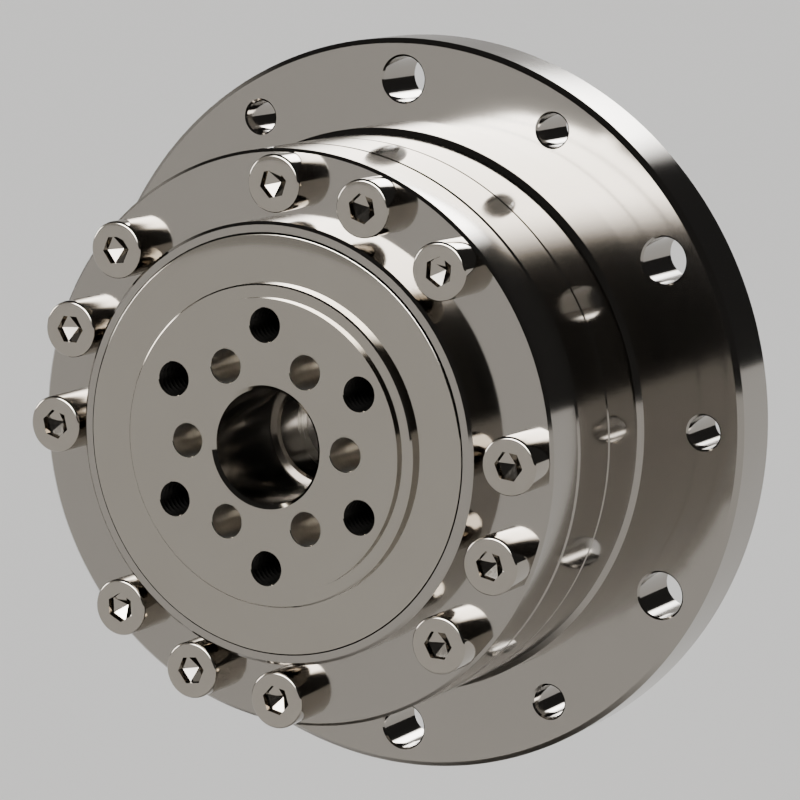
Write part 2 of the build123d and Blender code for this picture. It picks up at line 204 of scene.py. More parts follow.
@dataclass(frozen=True)
class Drilling:
    """Hole along the axis, from its mouth on a flat face to a drill point or to another flat face."""

    centre: tuple[float, float]
    radius: float
    mouth: float
    end: float
    chamfer: float
    through: bool
    thread: Thread | None = None

    @property
    def inward(self) -> int:
        """Direction along Y in which the hole goes."""
        return 1 if self.end > self.mouth else -1

    def rings(self) -> list[tuple[Outline, float]]:
        """Returns the outlines down the hole's wall, each with its station."""
        below = self.mouth + self.inward * self.chamfer
        rings = [
            (circle(self.radius + self.chamfer, HOLE_POINTS, self.centre), self.mouth),
            (circle(self.radius, HOLE_POINTS, self.centre), below),
        ]
        if self.thread:
            turns = int(abs(self.end - below) / self.thread.pitch) - 1
            for step in range(1, turns * self.thread.steps_per_turn):
                travel = step / self.thread.steps_per_turn
                rings.append((self.threaded(travel), below + self.inward * self.thread.pitch * travel))
        rings.append((circle(self.radius, HOLE_POINTS, self.centre), self.end))
        return rings

    def threaded(self, travel: float) -> Outline:
        """Returns the hole's outline where the thread has made a number of turns."""
        outline = []
        for step in range(HOLE_POINTS):
            share = step / HOLE_POINTS
            flank = abs(((travel + share) % 1) * 2 - 1)
            reach = self.radius + self.thread.depth * flank
            angle = FULL_TURN * share
            x = self.centre[0] + reach * math.cos(angle)
            z = self.centre[1] + reach * math.sin(angle)
            outline.append((x, z))
        return outline


class SectionStack:
    """Closed shell through a row of sections, with holes drilled into its flat faces."""

    def __init__(self, name: str) -> None:
        """Starts an empty shell with the name of its piece."""
        self.name = name
        self.shell = bmesh.new()

    def ring(self, outline: Outline, station: float) -> Ring:
        """Adds one outline at a station as a closed row of edges."""
        verts = [self.shell.verts.new((x * MM, station * MM, z * MM)) for x, z in outline]
        for index, vert in enumerate(verts):
            self.shell.edges.new((verts[index - 1], vert))
        return verts

    def bridge(self, first: Ring, second: Ring) -> None:
        """Joins two rings with the same number of points."""
        for index in range(len(first)):
            self.shell.faces.new((first[index - 1], first[index], second[index], second[index - 1]))

    def cap(self, rings: Iterable[Ring]) -> None:
        """Fills the flat face between an outer ring and the rings inside it."""
        edges = []
        for ring in rings:
            edges += [self.shell.edges.get((ring[index - 1], ring[index])) for index in range(len(ring))]
        bmesh.ops.triangle_fill(self.shell, edges=edges, use_beauty=True)

    def drill(self, hole: Drilling) -> list[tuple[float, tuple[float, float], Ring]]:
        """Adds the wall of a hole.

        Args:
            hole: Size and place of the hole.

        Returns:
            Station, centre and ring of each end that lies on a flat face.
        """
        rings = [(self.ring(outline, station), station) for outline, station in hole.rings()]
        for (first, _), (second, _) in zip(rings[:-1], rings[1:]):
            self.bridge(first, second)
        ends = [(hole.mouth, hole.centre, rings[0][0])]
        last = rings[-1][0]
        if hole.through:
            return ends + [(hole.end, hole.centre, last)]
        point_depth = hole.end + hole.inward * hole.radius * math.tan(POINT_ANGLE)
        tip = self.shell.verts.new((hole.centre[0] * MM, point_depth * MM, hole.centre[1] * MM))
        for index in range(len(last)):
            self.shell.faces.new((last[index - 1], last[index], tip))
        return ends

    def build(
        self, sections: Sequence[tuple[Outline, float]], holes: Iterable[Drilling] = ()
    ) -> bpy.types.Object:
        """Closes the shell through its sections and makes the object.

        Args:
            sections: Outlines with their stations, in order round the piece's wall; the last meets the first.
            holes: Holes in the flat faces.

        Returns:
            Object at the origin, linked to the scene.
        """
        mouths = [end for hole in holes for end in self.drill(hole)]
        rings = [self.ring(outline, station) for outline, station in sections]
        for index, ring in enumerate(rings):
            before = rings[index - 1]
            (old_outline, old_station), (outline, station) = sections[index - 1], sections[index]
            flat = abs(old_station - station) < FLAT_LIMIT
            inner, outer = sorted((math.hypot(*old_outline[0]), math.hypot(*outline[0])))
            here = [
                mouth
                for at, centre, mouth in mouths
                if flat and abs(at - station) < FLAT_LIMIT and inner < math.hypot(*centre) < outer
            ]
            if here or len(ring) != len(before):
                self.cap([before, ring, *here])
            else:
                self.bridge(before, ring)
        return self.finish()

    def finish(self) -> bpy.types.Object:
        """Turns the faces outwards and makes the object of the shell."""
        bmesh.ops.recalc_face_normals(self.shell, faces=self.shell.faces)
        mesh = bpy.data.meshes.new(self.name)
        self.shell.to_mesh(mesh)
        self.shell.free()
        return shaded(self.name, mesh)


def shaded(name: str, mesh: bpy.types.Mesh) -> bpy.types.Object:
    """Makes a linked object of a mesh, smooth between its sharp edges."""
    mesh.shade_smooth()
    mesh.set_sharp_from_angle(angle=SHARP_ANGLE)
    made = bpy.data.objects.new(name, mesh)
    bpy.context.scene.collection.objects.link(made)
    return made


def turned(profile: Sequence[tuple[float, float]]) -> list[tuple[Outline, float]]:
    """Returns the sections of a turned piece from its profile of radius and station."""
    return [(circle(radius), station) for radius, station in profile]


def refined(node: bpy.types.Object, name: str, bevel: float) -> bpy.types.Object:
    """Copies a CAD node as one smooth mesh with softly broken edges.

    Args:
        node: The CAD node, left as it is.
        name: Name of the new piece.
        bevel: Width of the broken edges, in millimetres.

    Returns:
        The new piece, linked to the scene.
    """
    work = bmesh.new()
    work.from_mesh(node.data)
    bmesh.ops.remove_doubles(work, verts=work.verts, dist=MERGE_LIMIT * MM)
    bmesh.ops.dissolve_limit(
        work, angle_limit=FACET_ANGLE, verts=work.verts, edges=work.edges, use_dissolve_boundaries=False
    )
    mesh = bpy.data.meshes.new(name)
    work.to_mesh(mesh)
    work.free()
    made = shaded(name, mesh)
    modifier = made.modifiers.new("broken edges", "BEVEL")
    modifier.width = bevel * MM
    modifier.segments = 2
    modifier.limit_method = "ANGLE"
    modifier.angle_limit = EDGE_ANGLE
    depsgraph = bpy.context.evaluated_depsgraph_get()
    baked = bpy.data.meshes.new_from_object(made.evaluated_get(depsgraph))
    bpy.data.objects.remove(made)
    return shaded(name, baked)


# Finishes.


class Lay(Enum):
    """Direction of the marks that the last tool left."""

    POLISHED = "hairlines in every direction"
    TURNED = "fine rings round the axis"
    MOULDED = "soft grain without direction"


@dataclass(frozen=True)
class Finish:
    """Procedural surface of one real material.

    Args:
        name: Name of the real finish.
        colour: Main colour in sRGB.
        second_colour: Colour of its patches, in sRGB.
        metallic: One for bare metal, nought for rubber, plastic and oxide.
        roughness: Roughness between the patches.
        roughness_spread: Added roughness inside them.
        patch: Width of the patches, in millimetres.
        lay: Direction of the marks.
        mark: Spacing of the marks, in millimetres.
        mark_depth: Depth of the marks, in millimetres.
        wipe: Heights of marks and patches between which the roughness grows.
    """

    name: str
    colour: str
    second_colour: str
    metallic: float
    roughness: float
    roughness_spread: float
    patch: float
    lay: Lay
    mark: float
    mark_depth: float
    wipe: tuple[float, float] = (0.1, 0.45)

    def build(self) -> bpy.types.Material:
        """Makes the material with its colour, roughness and relief."""
        material = bpy.data.materials.new(self.name)
        material.use_nodes = True
        tree = material.node_tree
        tree.nodes.clear()
        place = add_node(tree, "ShaderNodeTexCoord").outputs["Object"]
        patches = add_node(
            tree,
            "ShaderNodeTexNoise",
            {"Vector": place, "Scale": 1 / (self.patch * MM), "Detail": 4.0, "Roughness": 0.55},
        ).outputs["Fac"]
        colour = mixed(tree, patches, self.colour, self.second_colour)
        marks = self.marks(tree, place)
        worn = add_node(tree, "ShaderNodeMath", {0: patches, 1: marks}, operation="MULTIPLY").outputs[0]
        roughness = add_node(
            tree,
            "ShaderNodeMapRange",
            {
                "Value": worn,
                "From Min": self.wipe[0],
                "From Max": self.wipe[1],
                "To Min": self.roughness,
                "To Max": self.roughness + self.roughness_spread,
            },
        ).outputs["Result"]
        relief = add_node(
            tree,
            "ShaderNodeBump",
            {"Height": marks, "Strength": 1.0, "Distance": self.mark_depth * MM},
        ).outputs["Normal"]
        surface = add_node(
            tree,
            "ShaderNodeBsdfPrincipled",
            {"Base Color": colour, "Metallic": self.metallic, "Roughness": roughness, "Normal": relief},
        )
        add_node(tree, "ShaderNodeOutputMaterial", {"Surface": surface.outputs["BSDF"]})
        return material

    def marks(self, tree: bpy.types.NodeTree, place: bpy.types.NodeSocket) -> bpy.types.NodeSocket:
        """Adds the tool marks as a height between nought and one.

        Args:
            tree: Tree of the material.
            place: Point on the surface, in object coordinates.

        Returns:
            Output that carries the height.
        """
        scale = 1 / (self.mark * MM)
        if self.lay is not Lay.TURNED:
            detail = 2.0 if self.lay is Lay.MOULDED else 6.0
            return add_node(
                tree, "ShaderNodeTexNoise", {"Vector": place, "Scale": scale, "Detail": detail}
            ).outputs["Fac"]
        parts = add_node(tree, "ShaderNodeSeparateXYZ", {"Vector": place})
        flat = add_node(tree, "ShaderNodeCombineXYZ", {"X": parts.outputs["X"], "Y": parts.outputs["Z"]})
        reach = add_node(tree, "ShaderNodeVectorMath", {0: flat.outputs["Vector"]}, operation="LENGTH")
        along = add_node(
            tree, "ShaderNodeCombineXYZ", {"X": reach.outputs["Value"], "Y": parts.outputs["Y"]}
        ).outputs["Vector"]
        return add_node(
            tree, "ShaderNodeTexNoise", {"Vector": along, "Scale": scale, "Detail": 3.0}
        ).outputs["Fac"]


class Finishes:
    """The finishes of the reducer, each made once."""

    def __init__(self) -> None:
        """Makes every material."""
        # Ground and polished alloy steel: a warm grey mirror with hardly visible hairlines.
        self.mirror_steel = Finish(
            "polished alloy steel", "9A958E", "96918A", 1.0, 0.085, 0.03, 9.0, Lay.POLISHED, 0.35, 0.00006
        ).build()
        # Face-turned and polished hub steel: the same mirror with very fine rings round the axis.
        self.hub_steel = Finish(
            "fine turned polished steel", "9F9A91", "9A948B", 1.0, 0.06, 0.03, 7.0, Lay.TURNED, 0.3, 0.00005
        ).build()
        # Plated screw steel: a slightly brighter mirror, rounded by tumbling.
        self.screw_steel = Finish(
            "bright plated screw steel", "A39D94", "9C968D", 1.0, 0.06, 0.04, 1.6, Lay.POLISHED, 0.25, 0.0001
        ).build()
        # Hobbed and ground spring steel of the flexible cup: satin with rings round the axis.
        self.spline_steel = Finish(
            "hobbed spline steel", "A7A39C", "989489", 1.0, 0.22, 0.12, 4.0, Lay.TURNED, 0.12, 0.0006
        ).build()
        # Hardened and ground bearing steel: cool, nearly mirror bright.
        self.bearing_steel = Finish(
            "ground bearing steel", "BFBFBD", "B2B3B3", 1.0, 0.1, 0.06, 2.5, Lay.TURNED, 0.1, 0.0003
        ).build()
        # Lapped balls: cool mirror without direction.
        self.ball_steel = Finish(
            "lapped ball steel", "C9CACB", "BFC0C2", 1.0, 0.03, 0.02, 1.0, Lay.POLISHED, 0.2, 0.00004
        ).build()
        # Turned carbon steel of plug, clamp and input hub: visible feed rings.
        self.turned_steel = Finish(
            "turned carbon steel", "9B9792", "88847E", 1.0, 0.24, 0.14, 5.0, Lay.TURNED, 0.16, 0.0012
        ).build()
        # Sintered coupling steel of the Oldham ring: dull with an even grain.
        self.coupling_steel = Finish(
            "steam treated sinter steel", "6E6C6A", "5D5B59", 1.0, 0.38, 0.14, 1.8, Lay.POLISHED, 0.12, 0.0016
        ).build()
        # Bored and reamed wall: dull rings that smear a reflection along the bore.
        self.bored_steel = Finish(
            "bored steel wall", "97928B", "8B8680", 1.0, 0.12, 0.08, 3.0, Lay.TURNED, 0.16, 0.0013
        ).build()
        # Drilled holes: rougher and duller than the face, with the drill's marks.
        self.drilled_steel = Finish(
            "drilled steel wall", "C8C4BD", "A8A49D", 1.0, 0.32, 0.1, 0.8, Lay.TURNED, 0.2, 0.0016
        ).build()
        # Walls of the cut threads: almost black, with a dull shine on the crests.
        self.cut_thread = Finish(
            "oiled cut thread", "2B2926", "1F1E1C", 0.8, 0.42, 0.14, 1.2, Lay.POLISHED, 0.15, 0.0008
        ).build()
        # Phosphated spring steel of the snap ring.
        self.spring_steel = Finish(
            "phosphated spring steel", "4A4A4C", "3B3B3D", 0.9, 0.42, 0.12, 1.0, Lay.MOULDED, 0.1, 0.0012
        ).build()
        # Nitrile rubber seals: matte black with a moulded skin.
        self.rubber = Finish(
            "moulded nitrile rubber", "1B1B1C", "232324", 0.0, 0.62, 0.14, 1.5, Lay.MOULDED, 0.12, 0.002
        ).build()
        # Glass-filled polyamide cage and spacers: cream, slightly glossy with a faint grain.
        self.polyamide = Finish(
            "glass filled polyamide", "CDBD98", "C2B089", 0.0, 0.42, 0.16, 1.4, Lay.MOULDED, 0.14, 0.002
        ).build()


# Patterns of repeated parts.


@dataclass
class RingPattern:
    """Geometry Nodes tree that sets copies of one part round the axis."""

    tree: bpy.types.NodeTree = field(init=False)

    SOCKETS = {
        "Part": "NodeSocketObject",
        "Places": "NodeSocketInt",
        "Circle radius": "NodeSocketFloat",
        "Oval swing": "NodeSocketFloat",
        "Station": "NodeSocketFloat",
        "Empty every": "NodeSocketInt",
        "Empty place": "NodeSocketInt",
        "Loose turn": "NodeSocketFloat",
        "Tilt": "NodeSocketFloat",
        "Seed": "NodeSocketInt",
        "Finish": "NodeSocketMaterial",
    }

    def __post_init__(self) -> None:
        """Builds the tree once."""
        self.tree = bpy.data.node_groups.new("parts round the axis", "GeometryNodeTree")
        for name, kind in self.SOCKETS.items():
            self.tree.interface.new_socket(name=name, in_out="INPUT", socket_type=kind)
        self.tree.interface.new_socket(name="Geometry", in_out="OUTPUT", socket_type="NodeSocketGeometry")
        given = add_node(self.tree, "NodeGroupInput").outputs
        index = add_node(self.tree, "GeometryNodeInputIndex").outputs[0]
        points = add_node(
            self.tree,
            "GeometryNodePoints",
            {"Count": given["Places"], "Position": self.spot(given, index)},
        )
        numbered = add_node(
            self.tree,
            "GeometryNodeStoreNamedAttribute",
            {"Geometry": points.outputs[0], "Name": "place", "Value": index},
            data_type="INT",
        )
        self.seat(given, numbered.outputs["Geometry"])

    def math(self, operation: str, *values: Any) -> bpy.types.NodeSocket:
        """Adds one sum to the tree and returns its result."""
        return add_node(self.tree, "ShaderNodeMath", dict(enumerate(values)), operation=operation).outputs[0]

    def angle(self, given: Any, number: bpy.types.NodeSocket) -> bpy.types.NodeSocket:
        """Returns the angle of a place, in radians from X towards Z."""
        return self.math("DIVIDE", self.math("MULTIPLY", number, FULL_TURN), given["Places"])

    def spot(self, given: Any, index: bpy.types.NodeSocket) -> bpy.types.NodeSocket:
        """Returns the position of a place on the circle or on the oval that it is pressed into."""
        angle = self.angle(given, index)
        double = self.math("MULTIPLY", angle, 2.0)
        swing, radius = given["Oval swing"], given["Circle radius"]
        outward = self.math("MULTIPLY_ADD", self.math("COSINE", double), swing, radius)
        slip = self.math("MULTIPLY", self.math("MULTIPLY", self.math("SINE", double), swing), -0.5)
        local = add_node(
            self.tree, "ShaderNodeCombineXYZ", {"X": outward, "Y": given["Station"], "Z": slip}
        ).outputs["Vector"]
        return add_node(
            self.tree,
            "ShaderNodeVectorRotate",
            {"Vector": local, "Axis": (0.0, 1.0, 0.0), "Angle": self.math("MULTIPLY", angle, -1.0)},
            rotation_type="AXIS_ANGLE",
        ).outputs["Vector"]

    def seat(self, given: Any, numbered: bpy.types.NodeSocket) -> None:
        """Leaves the empty places out, sets a turned and tilted copy on the others and closes the tree."""
        number = add_node(
            self.tree, "GeometryNodeInputNamedAttribute", {"Name": "place"}, data_type="INT"
        ).outputs["Attribute"]
        remainder = self.math("MODULO", number, given["Empty every"])
        empty = self.math("COMPARE", remainder, given["Empty place"], 0.5)
        kept = add_node(
            self.tree,
            "GeometryNodeDeleteGeometry",
            {"Geometry": numbered, "Selection": empty},
            domain="POINT",
        ).outputs["Geometry"]
        loose = add_node(
            self.tree,
            "FunctionNodeRandomValue",
            {2: 0.0, 3: given["Loose turn"], "ID": number, "Seed": given["Seed"]},
            data_type="FLOAT",
        ).outputs[1]
        turn = self.math("SUBTRACT", loose, self.angle(given, number))
        part = add_node(self.tree, "GeometryNodeObjectInfo", {"Object": given["Part"]}).outputs["Geometry"]
        copies = add_node(
            self.tree,
            "GeometryNodeInstanceOnPoints",
            {
                "Points": kept,
                "Instance": part,
                "Rotation": add_node(self.tree, "ShaderNodeCombineXYZ", {"Y": turn}).outputs["Vector"],
            },
        ).outputs["Instances"]
        side = self.math("COSINE", self.math("MULTIPLY", number, math.pi))
        tilt = add_node(self.tree, "ShaderNodeCombineXYZ", {"Z": self.math("MULTIPLY", side, given["Tilt"])})
        tilted = add_node(
            self.tree,
            "GeometryNodeRotateInstances",
            {"Instances": copies, "Rotation": tilt.outputs["Vector"], "Local Space": True},
        ).outputs["Instances"]
        solid = add_node(self.tree, "GeometryNodeRealizeInstances", {"Geometry": tilted}).outputs["Geometry"]
        dressed = add_node(
            self.tree, "GeometryNodeSetMaterial", {"Geometry": solid, "Material": given["Finish"]}
        ).outputs["Geometry"]
        add_node(self.tree, "NodeGroupOutput", {"Geometry": dressed})

    def copies(self, name: str, part: bpy.types.Object, **sizes: Any) -> bpy.types.Object:
        """Sets a part round the axis and bakes the copies into one mesh.

        Args:
            name: Name of the finished piece.
            part: The part to copy; it is used up.
            sizes: Inputs of the tree by their names, with underscores for spaces.

        Returns:
            The finished piece, linked to the scene.
        """
        values = {"Empty every": 1, "Empty place": -1, "Seed": 3, "Part": part}
        values.update({key.replace("_", " "): value for key, value in sizes.items()})
        carrier = bpy.data.objects.new(name, bpy.data.meshes.new(name))
        bpy.context.scene.collection.objects.link(carrier)
        modifier = carrier.modifiers.new("pattern", "NODES")
        modifier.node_group = self.tree
        for item in self.tree.interface.items_tree:
            if item.in_out == "INPUT" and item.name in values:
                modifier[item.identifier] = values[item.name]
        depsgraph = bpy.context.evaluated_depsgraph_get()
        baked = bpy.data.meshes.new_from_object(carrier.evaluated_get(depsgraph))
        bpy.data.objects.remove(carrier)
        bpy.data.objects.remove(part)
        made = bpy.data.objects.new(name, baked)
        bpy.context.scene.collection.objects.link(made)
        return made


# Sub-assemblies.


@dataclass
class SubAssembly:
    """Pieces that ride on one CAD body."""

    frame: dict[str, Any]
    finishes: Finishes
    pattern: RingPattern
    body = "housing"

    def dress(self, piece: bpy.types.Object, material: bpy.types.Material, *nodes: str) -> None:
        """Gives a piece its material and body, and hides the CAD nodes that it stands for.

        Args:
            piece: The finished piece.
            material: Its material.
            nodes: CAD nodes that it replaces, none where another piece already does.
        """
        piece.data.materials.clear()
        piece.data.materials.append(material)
        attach(piece, self.body)
        if nodes:
            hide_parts(*nodes)
        LOG.info("%s: %d faces on %s", piece.name, len(piece.data.polygons), self.body)

    def refine(self, node: str, name: str, bevel: float, material: bpy.types.Material) -> None:
        """Dresses a smooth copy of one CAD node."""
        self.dress(refined(self.frame["nodes"][node], name, bevel), material, node)


@dataclass
class ToothForm:
    """Straight-flanked spline teeth on a round or oval pitch line."""

    pitch_diameter: float = 35.56
    flex_teeth: int = 100
    extra_teeth: int = 2
    addendum: float = 0.27
    dedendum: float = 0.33
    flank_slope: float = math.tan(math.radians(27))
    clearance: float = 0.03

    @property
    def module(self) -> float:
        """Size of a tooth, as pitch diameter per tooth."""
        return self.pitch_diameter / self.flex_teeth

    @property
    def swing(self) -> float:
        """Radial travel of the flexible rim."""
        return self.extra_teeth * self.module / 2

    def outline(
        self, teeth: int, radius: float, swing: float, width: float, root: float, tip: float
    ) -> Outline:
        """Returns the corners of a closed row of teeth.

        Args:
            teeth: Number of teeth.
            radius: Radius of the pitch line.
            swing: Oval swing of the pitch line.
            width: Width of a tooth on the pitch line.
            root: Depth of the root below the pitch line.
            tip: Height of the tip above it.

        Returns:
            Four corners for each tooth.
        """
        corners = []
        for index in range(teeth):
            angle = FULL_TURN * index / teeth
            polar = angle - swing / (2 * radius) * math.sin(2 * angle)
            reach = radius + swing * math.cos(2 * angle)
            outward = polar + 2 * swing / radius * math.sin(2 * angle)
            for side, height in ((-1, -root), (-1, tip), (1, tip), (1, -root)):
                across = side * (width / 2 - height * self.flank_slope)
                x = reach * math.cos(polar) + height * math.cos(outward) - across * math.sin(outward)
                z = reach * math.sin(polar) + height * math.sin(outward) + across * math.cos(outward)
                corners.append((x, z))
        return corners

    def rigid(self) -> Outline:
        """Returns the tooth spaces of the circular spline."""
        radius = self.pitch_diameter / 2 + self.swing
        width = math.pi * self.module / 2
        teeth = self.flex_teeth + self.extra_teeth
        return self.outline(teeth, radius, 0, width, self.addendum, self.dedendum)

    def flexible(self) -> Outline:
        """Returns the teeth of the cup's oval rim."""
        width = math.pi * self.module / 2 - 2 * self.clearance
        radius = self.pitch_diameter / 2
        return self.outline(self.flex_teeth, radius, self.swing, width, self.dedendum, self.addendum)


@dataclass
class Housing(SubAssembly):
    """Flange with the circular spline, the two bearing rings and the ring screws."""

    body = "housing"
    teeth: ToothForm = field(default_factory=ToothForm)
    flange_radius: float = 36.5
    flange_front: float = -6.5
    front_chamfer: float = 0.5
    rear_chamfer: float = 0.3
    hole_circle: float = 32.5
    holes: int = 6
    through_angle: float = 30.0
    tapped_angle: float = 0.0
    through_radius: float = 2.25
    tapped_radius: float = 1.65
    hole_chamfer: float = 0.18
    pilot_radius: float = 28.0
    pilot_front: float = -10.2
    body_radius: float = 27.5
    spline_front: float = -16.9
    ring_split: float = -23.3
    ring_front: float = -28.8
    ring_chamfer: float = 0.18
    split_chamfer: float = 0.28
    front_edge: float = 0.3
    recess_radius: float = 19.6
    recess_floor: float = -1.0
    teeth_front: float = -7.2
    cup_bore: float = 19.2
    bearing_bore: float = 19.1
    groove_mouth: float = 21.16
    groove_rise: float = 2.06
    lip_inner: float = 20.0
    lip_outer: float = 21.0
    lip_front: float = -32.1
    lip_chamfer: float = 0.3
    seal_rear: float = -27.85

    def build(self) -> None:
        """Builds and dresses the housing's pieces."""
        self.flange()
        self.rear_ring()
        self.front_ring()
        ScrewRow(self.frame, self.finishes, self.pattern).build()
        self.refine("ring_seal", "spline_seal", 0.05, self.finishes.rubber)
        self.refine("shaft_seal", "hub_lip_seal", 0.05, self.finishes.rubber)

    def flange(self) -> None:
        """Builds the flange with its holes and the circular spline's teeth in its bore."""
        cone = self.pilot_radius - self.body_radius
        sections = [
            (self.teeth.rigid(), self.recess_floor),
            *turned(
                [
                    (self.recess_radius, self.recess_floor),
                    (self.recess_radius, 0),
                    (self.flange_radius - self.rear_chamfer, 0),
                    (self.flange_radius, -self.rear_chamfer),
                    (self.flange_radius, self.flange_front + self.front_chamfer),
                    (self.flange_radius - self.front_chamfer, self.flange_front),
                    (self.pilot_radius, self.flange_front),
                    (self.pilot_radius, self.pilot_front),
                    (self.body_radius, self.pilot_front - cone),
                    (self.body_radius, self.spline_front + self.ring_chamfer),
                    (self.body_radius - self.ring_chamfer, self.spline_front),
                    (self.cup_bore, self.spline_front),
                    (self.cup_bore, self.teeth_front),
                ]
            ),
            (self.teeth.rigid(), self.teeth_front),
        ]
        kinds = ((self.through_angle, self.through_radius), (self.tapped_angle, self.tapped_radius))
        holes = []
        for number in range(self.holes):
            for start, radius in kinds:
                spot = place_on_circle(self.hole_circle, start + 360 / self.holes * number)
                holes.append(Drilling(spot, radius, self.flange_front, 0, self.hole_chamfer, True))
        piece = SectionStack("flange_and_circular_spline").build(sections, holes)
        self.dress(piece, self.finishes.mirror_steel, "spline_flange")

    def rear_ring(self) -> None:
        """Builds the rear half of the bearing's outer ring."""
        profile = [
            (self.body_radius - self.ring_chamfer, self.spline_front),
            (self.body_radius, self.spline_front - self.ring_chamfer),
            (self.body_radius, self.ring_split + self.split_chamfer),
            (self.body_radius - self.split_chamfer, self.ring_split),
            (self.groove_mouth, self.ring_split),
            (self.bearing_bore, self.ring_split + self.groove_rise),
            (self.bearing_bore, self.spline_front),
        ]
        piece = SectionStack("rear_bearing_ring").build(turned(profile))
        self.dress(piece, self.finishes.mirror_steel, "bearing_ring_rear")

    def front_ring(self) -> None:
        """Builds the front half of the outer ring with its thin lip."""
        profile = [
            (self.lip_inner, self.seal_rear),
            (self.lip_inner, self.lip_front),
            (self.lip_outer - self.lip_chamfer, self.lip_front),
            (self.lip_outer, self.lip_front + self.lip_chamfer),
            (self.lip_outer, self.ring_front),
            (self.body_radius - self.front_edge, self.ring_front),
            (self.body_radius, self.ring_front + self.front_edge),
            (self.body_radius, self.ring_split - self.split_chamfer),
            (self.body_radius - self.split_chamfer, self.ring_split),
            (self.groove_mouth, self.ring_split),
            (self.bearing_bore, self.ring_split - self.groove_rise),
            (self.bearing_bore, self.seal_rear),
        ]
        piece = SectionStack("front_bearing_ring").build(turned(profile))
        self.dress(piece, self.finishes.mirror_steel, "bearing_ring_front")


@dataclass
class CapScrew:
    """Socket head cap screw, its seat at station 0 and its head towards -Y."""

    head_radius: float = 2.75
    head_height: float = 3.0
    head_rounding: float = 0.25
    shank_radius: float = 1.5
    shank_length: float = 16.0
    socket_flats: float = 2.5
    socket_depth: float = 0.85
    socket_point: float = 0.61
    points: int = 48
    rounding_steps: int = 6

    def build(self) -> bpy.types.Object:
        """Builds the screw with its rounded head, hexagon socket and drill point."""
        top = -self.head_height
        corner = (self.head_radius - self.head_rounding, top + self.head_rounding)
        rim = arc(corner, self.head_rounding, -90, 0, self.rounding_steps)
        sections = [
            (hexagon(self.socket_flats, self.points), top + self.socket_depth),
            (hexagon(self.socket_flats, self.points), top),
            *[(circle(radius, self.points), station) for radius, station in rim],
            (circle(self.head_radius, self.points), 0.0),
            (circle(self.shank_radius, self.points), 0.0),
            (circle(self.shank_radius, self.points), self.shank_length - self.head_rounding),
            (circle(self.shank_radius - self.head_rounding, self.points), self.shank_length),
        ]
        stack = SectionStack("cap_screw")
        rings = [stack.ring(outline, station) for outline, station in sections]
        for first, second in zip(rings[:-1], rings[1:]):
            stack.bridge(first, second)
        point = stack.shell.verts.new((0, (top + self.socket_depth + self.socket_point) * MM, 0))
        for index in range(self.points):
            stack.shell.faces.new((rings[0][index - 1], rings[0][index], point))
        stack.shell.faces.new(rings[-1])
        return stack.finish()


@dataclass
class ScrewRow(SubAssembly):
    """Twelve ring screws on sixteen places."""

    body = "housing"
    screw_circle: float = 24.5
    places: int = 16
    empty_every: int = 4
    empty_place: int = 1
    seat: float = -28.8
    loose_turn: float = math.radians(60)
    seed: int = 11

    def build(self) -> None:
        """Sets the screws round the ring, each tightened to its own angle."""
        piece = self.pattern.copies(
            "ring_cap_screws",
            CapScrew().build(),
            Places=self.places,
            Circle_radius=self.screw_circle * MM,
            Station=self.seat * MM,
            Empty_every=self.empty_every,
            Empty_place=self.empty_place,
            Loose_turn=self.loose_turn,
            Seed=self.seed,
            Finish=self.finishes.screw_steel,
        )
        self.dress(piece, self.finishes.screw_steel, "ring_screws")


